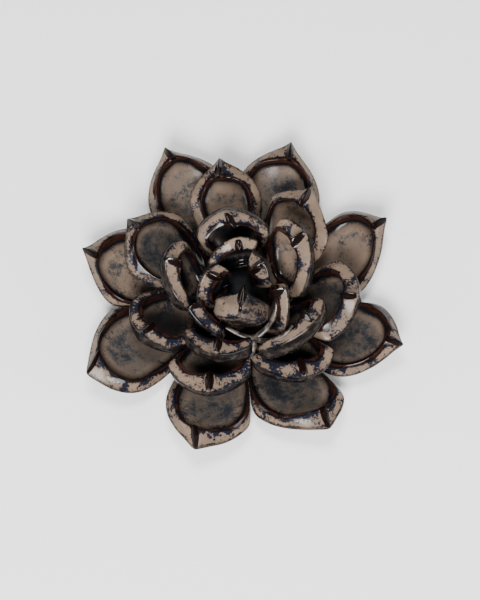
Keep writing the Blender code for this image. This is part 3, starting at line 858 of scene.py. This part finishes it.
def leaf_glaze(name, colours, shine):
    """Reactive glaze of one whorl: pale body, specks, clouds, rust line on the lip, dark seam, and
    painted shade in the dishes and at the roots.
    """
    material, shader, where = new_material(name)
    tree = where.tree

    def mask(key):
        return place(tree, "Attribute", {"attribute_name": key}, "Fac")

    flow = place(tree, "UVMap", {"uv_map": "flow"}, 0)
    lip, dish, under, ridge, pool = map(mask, ("lip", "dish", "underside", "ridge", "pool"))
    across = {"Flow": flow, "Vector": where}
    # Half of the rust line's width, which swells from 1.1 to 2.1 mm
    breadth = ease(noise(where, 60.0, 2.0, 0.5), 0.40, 0.62, 1.1, 2.1)
    edge = use(
        broken_edge, tree, Distance=lip, Middle=-0.75, Half_Width=breadth, Soft=0.45, **across
    )
    skirt = use(
        broken_edge, tree, Distance=mask("rim"), Half_Width=mask("line"), Ragged=1.1, **across
    )
    near = largest(edge["Near"], skirt["Near"] * 0.4)
    specks = use(pigment_speckle, tree, Vector=where, Pull=near, Amount=mask("specks"))
    heart = ease(lip, -8.5, -4.0, 1.0, 0.0)
    cloud = use(dish_clouds, tree, Vector=where, Dish=dish, Heart=heart, Amount=mask("cloud"))
    skin = use(glaze_skin, tree, Vector=where)

    # Painted shade on the dish just inside the lip, strongest on the wall and gone at the lip and
    # mid-dish
    wall_shade = ease(lip, -6.5, -2.8) * ease(lip, -1.0, 0.0, 1.0, 0.0)
    open_band = 1.0 - dish * 0.85
    fleck = specks["Mask"] * open_band * 0.96
    rust = blended(ease(noise(where, 330.0), 0.47, 0.64), colours["rust"], colours["seam"])
    seam = ease(ridge + noise(where, 700.0, 3.0) * 0.6 - 0.30, 0.35, 0.55)
    shade = blended(specks["Haze"], colours["under"], colours["pool"])
    worn = ease(noise(where, 300.0, 5.0, 0.65), 0.47, 0.62) * 0.28
    shade = blended(worn, shade, colours["dish"])
    colour = blended(ease(noise(where, 120.0), 0.35, 0.65), colours["body"], colours["body_warm"])
    # Glazes over the body, from the lowest to the top one, and how much each of them covers
    for cover, over in (
        # Dish tones set per leaf: dark pooled glaze and painted shade, with the palest dishes painted
        # light
        (dish * ease(pool, -0.1, 0.4), colours["dish"]),
        (cloud["Mask"] * 0.72, colours["cloud"]),
        (cloud["Curds"] * 0.6, colours["cobalt"]),
        (largest(dish * ease(pool, 0.2, 0.95), wall_shade * 0.7), colours["pool"]),
        (specks["Haze"] * open_band * 0.22, colours["cloud"]),
        (fleck, colours["cobalt"]),
        (edge["Border"] * 0.95, colours["pool"]),
        (skirt["Border"] * 0.90, colours["pool"]),
        (edge["Core"], rust),
        (seam, colours["seam"]),
        (under, shade),
        # Dark pooled glaze and painted shade at the roots
        (mask("root") * ease(specks["Haze"], -0.6, 0.7), colours["pool"]),
    ):
        colour = blended(cover, colour, over)

    glint = seam * shine
    dark = largest(edge["Core"], glint)
    glassy = largest(dark, under, fleck * 0.4, edge["Border"], skirt["Border"]) * (1.0 - dish)
    matt = largest(dish, under, seam - glint)
    height = (skin["Height"] + fleck * 0.10 + edge["Core"] * -0.25) * (1.0 - ridge)
    feed(
        shader,
        Base_Color=colour,
        Roughness=(skin["Dullness"] * 0.26 + dish * 0.22 + 0.14) * (glassy * -0.68 + 1.0),
        Normal=relief_of(height, 0.3, 0.0003),
        Specular_IOR_Level=0.03,
        Coat_Weight=(dark * 0.14 + glint * 0.40 + 0.18) * (matt * -0.9 + 1.0),
        Coat_Roughness=0.14,
    )
    return material


def run_glaze(colours):
    """Thick grey brown glaze where it ran together."""
    material, shader, where = new_material("run_glaze")
    skin = use(glaze_skin, where.tree, Vector=where)
    thick = ease(noise(where, 420.0), 0.42, 0.62)
    feed(
        shader,
        Base_Color=blended(thick, colours["under"], colours["dish"]),
        Roughness=skin["Dullness"] * 0.25 + 0.28,
        Normal=relief_of(skin["Height"], 0.3, 0.0003),
        Specular_IOR_Level=0.30,
        Coat_Weight=0.3,
        Coat_Roughness=0.28,
    )
    return material


def hub_clay(colours):
    """Bare brown stoneware on the foot, under dark pooled glaze from just above it."""
    material, shader, where = new_material("hub_clay_and_glaze")
    height = place(where.tree, "SeparateXYZ", {}, 2, Vector=where)
    specks = use(pigment_speckle, where.tree, Vector=where, Amount=0.02)
    skin = use(glaze_skin, where.tree, Vector=where)
    glaze_line = noise(where, 150.0) * 0.0024 + 0.0012
    glazed = ease(height - glaze_line, 0.0, 0.0006)
    grit = ease(noise(where, 1800.0, 4.0, 0.7), 0.35, 0.7)
    clay = blended(grit, colours["clay"], colours["clay_grit"])
    pooled = largest(specks["Haze"], ease(height, 0.012, 0.016))
    glaze = blended(pooled, colours["under"], colours["pool"])
    feed(
        shader,
        Base_Color=blended(glazed, clay, glaze),
        Roughness=glazed * -0.35 + 0.85,
        Normal=relief_of(grit * 0.3 + skin["Height"], 0.4, 0.0004),
        Specular_IOR_Level=0.12,
    )
    return material


# Settings


def length_setting(name, description, default, low, high):
    """A setting in metres."""
    return FloatProperty(
        name=name, description=description, default=default, min=low, max=high, unit="LENGTH",
        precision=5,
    )


def colour_setting(name, description, default):
    """A setting that is a colour, in linear light."""
    return FloatVectorProperty(
        name=name, description=description, default=default, size=3, min=0, max=1, subtype="COLOR"
    )


class FlowerSizes(bpy.types.PropertyGroup):
    """Sizes of the detail that is worked into every leaf."""

    ridge_width: length_setting(
        "Seam width", "Width of the raised seam on each leaf tip", 0.0030, 0.0005, 0.005
    )
    ridge_height: length_setting(
        "Seam height", "Height of the raised seam on each leaf tip", 0.0012, 0.0, 0.002
    )
    wobble: FloatProperty(
        name="Hand wobble",
        description="How unevenly the leaf edges are pinched, as a share of the leaf's size",
        default=0.035,
        min=0.0,
        max=0.1,
        subtype="FACTOR",
    )


class FlowerColours(bpy.types.PropertyGroup):
    """Colours of the glaze and of the clay."""

    body: colour_setting("Body", "Pale glaze of the bands", (0.120, 0.087, 0.066))
    body_warm: colour_setting("Warm body", "Pale glaze where it is thick", (0.160, 0.112, 0.080))
    dish: colour_setting("Dish", "Glaze in the floor of the dishes", (0.085, 0.066, 0.054))
    cloud: colour_setting("Cloud", "Slate blue clouds and haze", (0.029, 0.035, 0.037))
    cobalt: colour_setting("Cobalt", "Dark blue specks", (0.0040, 0.0062, 0.0135))
    rust: colour_setting("Rust", "Iron brown line on the lips", (0.0195, 0.0064, 0.0042))
    seam: colour_setting("Seam", "Near black glaze on the tip seams", (0.0050, 0.0022, 0.0018))
    under: colour_setting("Underside", "Glaze on the backs of the leaves", (0.0070, 0.0054, 0.0048))
    # Dark pooled glaze, and also the colour of the painted shade in the dishes, along their walls and
    # at the roots
    pool: colour_setting("Pool", "Dark glaze that ran together at the roots", (0.0022, 0.0025, 0.0038))
    clay: colour_setting("Clay", "Bare clay of the foot", (0.13, 0.085, 0.058))
    clay_grit: colour_setting("Grit", "Darker grit in the bare clay", (0.07, 0.045, 0.032))


class FlowerStage(bpy.types.PropertyGroup):
    """Floor, light and camera."""

    floor: colour_setting("Floor", "Pale floor under the flower", (0.86, 0.86, 0.86))
    light: FloatProperty(
        name="Light", description="Strength of all the lamps together", default=1.0, min=0.0, max=5.0
    )
    lens: FloatProperty(
        name="Lens", description="Focal length", default=145.8, min=20, max=400, unit="CAMERA"
    )
    tilt: FloatProperty(
        name="Camera height",
        description="Angle of the camera above the floor",
        default=math.radians(72.0),
        min=0.0,
        max=math.pi / 2,
        subtype="ANGLE",
    )
    distance: length_setting("Distance", "From the camera to the flower", 0.9, 0.3, 3.0)


def glaze_colours():
    """Colours of the settings as four numbers each, as the nodes take them."""
    chosen = bpy.context.scene.flower_colours
    return {key: (*getattr(chosen, key), 1.0) for key in FlowerColours.__annotations__}


# Pieces


def sectors(azimuths):
    """Half the angle from each leaf to the next one and to the one before it."""
    order = np.argsort(azimuths)
    found = {}
    for spot, index in enumerate(order):
        after = azimuths[order[(spot + 1) % len(order)]]
        before = azimuths[order[spot - 1]]
        here = azimuths[index]
        found[index] = ((after - here) % 360 / 2, (here - before) % 360 / 2)
    return found


def add_whorl(name, material, seed):
    """Every leaf of one whorl, each in the place of its CAD node."""
    chosen = bpy.context.scene.flower_sizes
    sizes = {
        "ridge_width": chosen.ridge_width / MM,
        "ridge_height": chosen.ridge_height / MM,
        "wobble": chosen.wobble,
    }
    leaves, shared_out = WHORLS[name]
    limits = sectors([leaf["azimuth"] for leaf in leaves])
    for index, (leaf, glazing) in enumerate(zip(leaves, GLAZING[name])):
        sector = leaf["sector"] or (limits[index] if shared_out else None)
        node = name if len(leaves) == 1 else f"{name}_{index + 1}"
        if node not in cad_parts:
            raise RuntimeError(f"the frame has no node {node}")
        seated = leaf | {"sector": sector}
        points, masks, flow = leaf_surface(seated, glazing, seed + 7 * index, sizes)
        title = node + "_glazed"
        mesh = closed_mesh(title, turned(points, math.radians(leaf["azimuth"])), masks, flow)
        add_piece(title, mesh, material, [node])


class SUCCULENT_OT_outer_leaves(bpy.types.Operator):
    """Build the eight broad leaves that lie nearly flat"""

    bl_idname = "succulent.outer_leaves"
    bl_label = "Outer Leaves"

    def execute(self, context):
        add_whorl("outer_leaf", leaf_glaze("outer_leaf_glaze", glaze_colours(), 0.0), 11)
        return {"FINISHED"}


class SUCCULENT_OT_second_leaves(bpy.types.Operator):
    """Build the seven half open leaves"""

    bl_idname = "succulent.second_leaves"
    bl_label = "Second Leaves"

    def execute(self, context):
        add_whorl("second_leaf", leaf_glaze("second_leaf_glaze", glaze_colours(), 0.6), 211)
        return {"FINISHED"}


class SUCCULENT_OT_third_leaves(bpy.types.Operator):
    """Build the five upright leaves"""

    bl_idname = "succulent.third_leaves"
    bl_label = "Third Leaves"

    def execute(self, context):
        add_whorl("third_leaf", leaf_glaze("third_leaf_glaze", glaze_colours(), 1.0), 411)
        return {"FINISHED"}


class SUCCULENT_OT_inner_leaves(bpy.types.Operator):
    """Build the five small leaves that close round the middle, and the bud leaf"""

    bl_idname = "succulent.inner_leaves"
    bl_label = "Inner Leaves and Bud"

    def execute(self, context):
        glaze = leaf_glaze("inner_leaf_glaze", glaze_colours(), 1.0)
        add_whorl("inner_leaf", glaze, 611)
        add_whorl("bud_leaf", glaze, 811)
        return {"FINISHED"}


class SUCCULENT_OT_glaze_runs(bpy.types.Operator):
    """Build the runs of glaze that bridge the hollow below the bud"""

    bl_idname = "succulent.glaze_runs"
    bl_label = "Runs of Glaze"

    def execute(self, context):
        glaze = run_glaze(glaze_colours())
        for index, (end, path) in enumerate(GLAZE_RUNS):
            title = f"glaze_run_{index + 1}"
            add_piece(title, closed_mesh(title, tube(path, end, 911 + index)), glaze, [])
        return {"FINISHED"}


class SUCCULENT_OT_hub(bpy.types.Operator):
    """Build the turned hub and its flat foot"""

    bl_idname = "succulent.hub"
    bl_label = "Hub"

    def execute(self, context):
        mesh = closed_mesh("hub_turned", hub_surface())
        add_piece("hub_turned", mesh, hub_clay(glaze_colours()), ["hub"])
        return {"FINISHED"}


class SUCCULENT_OT_stage(bpy.types.Operator):
    """Build the floor, the studio light and the camera"""

    bl_idname = "succulent.stage"
    bl_label = "Stage"

    def execute(self, context):
        scene = context.scene
        chosen = scene.flower_stage
        self.add_floor(scene, chosen)
        self.add_lights(scene, chosen)
        self.add_camera(scene, chosen)
        return {"FINISHED"}

    def add_floor(self, scene, chosen):
        """A wide disc just under the foot."""
        radius, drop = 3.0, 0.00005
        angle = np.linspace(0, 2 * math.pi, 97)[:-1]
        rim = np.stack([radius * np.cos(angle), radius * np.sin(angle), 0 * angle - drop], -1)
        mesh = bpy.data.meshes.new("floor")
        mesh.from_pydata(rim.tolist(), [], [list(range(len(rim)))])
        material, shader, _ = new_material("pale_floor")
        feed(shader, Base_Color=(*chosen.floor, 1.0), Roughness=0.9, Specular_IOR_Level=0.1)
        mesh.materials.append(material)
        floor = bpy.data.objects.new("floor", mesh)
        scene.collection.objects.link(floor)

    def add_lights(self, scene, chosen):
        """Soft boxes round the flower, by place, size and watts, and a faint even surround."""
        for name, spot, size, watts in (
            ("soft_box_front", (-0.10, -0.75, 0.90), 0.45, 30.0),
            ("soft_box_top", (-0.05, 0.30, 1.25), 0.40, 14.0),
            ("soft_box_right", (0.95, -0.25, 0.50), 0.40, 6.0),
            ("soft_box_left", (-0.95, -0.25, 0.50), 0.40, 4.0),
        ):
            lamp = bpy.data.lights.new(name, "AREA")
            lamp.shape = "SQUARE"
            lamp.size = size
            lamp.energy = watts * chosen.light
            obj = bpy.data.objects.new(name, lamp)
            scene.collection.objects.link(obj)
            obj.location = spot
            aim = Vector((0, 0, 0.02)) - Vector(spot)
            obj.rotation_euler = aim.to_track_quat("-Z", "Y").to_euler()
        world = bpy.data.worlds.new("surround")
        scene.world = world
        world.use_nodes = True
        surround = world.node_tree.nodes["Background"]
        feed(surround, Color=(1, 1, 1, 1), Strength=0.12 * chosen.light)

    def add_camera(self, scene, chosen):
        """Looks down at the flower from the side of -Y, framed on an image of 480 by 600."""
        middle, shift_right, shift_up = Vector((0, 0, 0.018)), -0.00074, -0.0037
        back = Vector((0, -math.cos(chosen.tilt), math.sin(chosen.tilt)))
        right = Vector((1, 0, 0))
        up = back.cross(right)
        camera = bpy.data.cameras.new("camera")
        camera.sensor_width = 36.0
        camera.lens = chosen.lens
        camera.clip_start = 0.05
        camera.clip_end = 20.0
        obj = bpy.data.objects.new("camera", camera)
        scene.collection.objects.link(obj)
        spot = middle + back * chosen.distance + right * shift_right + up * shift_up
        turned_axes = Matrix((right, up, back)).transposed().to_4x4()
        obj.matrix_world = Matrix.Translation(spot) @ turned_axes
        scene.camera = obj


class SUCCULENT_PT_panel(bpy.types.Panel):
    """Lists the pieces of the flower and their settings"""

    bl_idname = "SUCCULENT_PT_panel"
    bl_label = "Succulent Flower"
    bl_space_type = "VIEW_3D"
    bl_region_type = "UI"
    bl_category = "Succulent Flower"

    def draw(self, context):
        layout = self.layout
        for operator in OPERATORS:
            layout.operator(operator.bl_idname)
        for name in SETTINGS:
            group = getattr(context.scene, name)
            box = layout.box()
            for key in type(group).__annotations__:
                box.prop(group, key)


SETTINGS = {
    "flower_sizes": FlowerSizes,
    "flower_colours": FlowerColours,
    "flower_stage": FlowerStage,
}
OPERATORS = [
    SUCCULENT_OT_hub,
    SUCCULENT_OT_outer_leaves,
    SUCCULENT_OT_second_leaves,
    SUCCULENT_OT_third_leaves,
    SUCCULENT_OT_inner_leaves,
    SUCCULENT_OT_glaze_runs,
    SUCCULENT_OT_stage,
]
CLASSES = [*SETTINGS.values(), *OPERATORS, SUCCULENT_PT_panel]


def register():
    for cls in CLASSES:
        bpy.utils.register_class(cls)
    for name, group in SETTINGS.items():
        setattr(bpy.types.Scene, name, PointerProperty(type=group))


def unregister():
    for name in SETTINGS:
        delattr(bpy.types.Scene, name)
    for cls in reversed(CLASSES):
        bpy.utils.unregister_class(cls)


def main():
    register()
    bpy.ops.succulent.hub()
    bpy.ops.succulent.outer_leaves()
    bpy.ops.succulent.second_leaves()
    bpy.ops.succulent.third_leaves()
    bpy.ops.succulent.inner_leaves()
    bpy.ops.succulent.glaze_runs()
    bpy.ops.succulent.stage()


if __name__ == "__main__":
    main()
